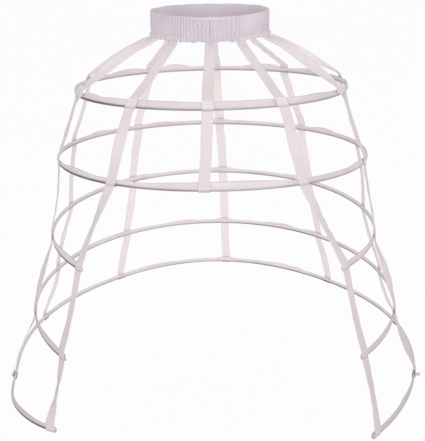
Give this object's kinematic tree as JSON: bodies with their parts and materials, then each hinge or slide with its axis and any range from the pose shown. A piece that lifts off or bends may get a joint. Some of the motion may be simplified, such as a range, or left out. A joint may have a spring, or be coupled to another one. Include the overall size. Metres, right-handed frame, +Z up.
{
  "type": "crinoline cage",
  "caption": "Crinoline cage: a gathered elastic waistband with tapes that hang closed and open-fronted hoops, worn under a skirt to hold it out.",
  "frame": {"origin": "centre of the waist opening at half the height of the band", "axes": "+Z up along the wearer, the wearer faces -Y, +X to the right of the picture"},
  "size_m": [0.8626, 0.8902, 0.7471],
  "materials": {
    "band_cloth": "gathered cotton, pale lavender white",
    "elastic": "woven elastic, white",
    "casing_cloth": "thin cotton, pale pinkish white",
    "tape": "soft woven tape, pale pinkish white",
    "spring_steel": "flat spring steel, dull",
    "crimped_steel": "thin crimped sheet steel"
  },
  "bodies": {
    "root": {"waistband": "band_cloth", "waist_elastic": "elastic", "hoop_1_casing": "casing_cloth", "hoop_2_casing": "casing_cloth", "hoop_3_casing": "casing_cloth", "hoop_4_casing": "casing_cloth", "hoop_5_casing": "casing_cloth", "hoop_1_steel": "spring_steel", "hoop_2_steel": "spring_steel", "hoop_3_steel": "spring_steel", "hoop_4_steel": "spring_steel", "hoop_5_steel": "spring_steel", "hoop_1_joiner": "crimped_steel", "hoop_2_joiner": "crimped_steel", "hoop_3_tip_left": "crimped_steel", "hoop_3_tip_right": "crimped_steel", "hoop_4_tip_left": "crimped_steel", "hoop_4_tip_right": "crimped_steel", "hoop_5_tip_left": "crimped_steel", "hoop_5_tip_right": "crimped_steel", "tape_front_centre": "tape", "tape_front_left": "tape", "tape_front_right": "tape", "tape_side_left": "tape", "tape_side_right": "tape", "tape_back_side_left": "tape", "tape_back_side_right": "tape", "tape_back_left": "tape", "tape_back_right": "tape", "tape_back_centre": "tape"}
  },
  "joints": []
}
